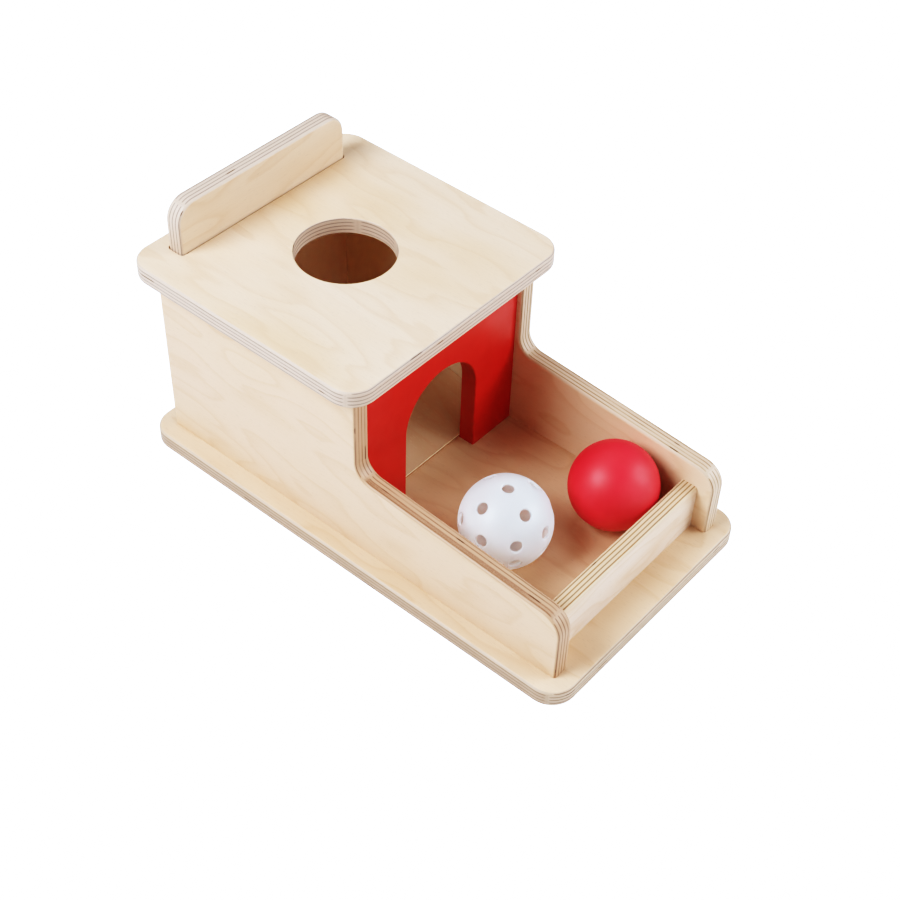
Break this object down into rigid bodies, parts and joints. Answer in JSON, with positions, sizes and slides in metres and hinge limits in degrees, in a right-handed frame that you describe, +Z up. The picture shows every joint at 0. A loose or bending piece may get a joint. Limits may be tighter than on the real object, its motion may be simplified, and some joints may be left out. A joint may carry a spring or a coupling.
{
  "type": "object permanence box",
  "caption": "Plywood toy box with a ball hole in its top, a hidden ramp, an arched way out and a railed tray, with a solid and a perforated ball.",
  "frame": {"origin": "middle of the base's underside", "axes": "+Z up, +Y from the open tray towards the box, +X to the right seen from the tray"},
  "size_m": [0.192, 0.344, 0.184],
  "materials": {
    "birch_plywood": "clear satin lacquer",
    "beech": "bare",
    "red_paint": "satin paint",
    "red_lacquer": "satin lacquer",
    "white_plastic": "satin"
  },
  "bodies": {
    "box": {"base_board": "birch_plywood", "left_wall": "birch_plywood", "right_wall": "birch_plywood", "front_panel": "red_paint", "back_panel": "birch_plywood", "top_board": "birch_plywood", "front_rail": "birch_plywood", "ramp": "birch_plywood", "left_ramp_wedge": "beech", "right_ramp_wedge": "beech", "wall_dowels": "beech", "panel_dowels": "beech", "rail_dowels": "beech", "top_dowels": "beech"},
    "red_ball": {"red_ball": "red_lacquer"},
    "white_ball": {"white_ball": "white_plastic"}
  },
  "joints": [
    {"name": "red_ball_roll", "type": "slide", "parent": "box", "child": "red_ball", "axis": [0, 1, 0], "range_m": [-0.0012, 0.077]},
    {"name": "white_ball_lift", "type": "slide", "parent": "box", "child": "white_ball", "axis": [0, 0, 1], "range_m": [0, 0.14]}
  ]
}
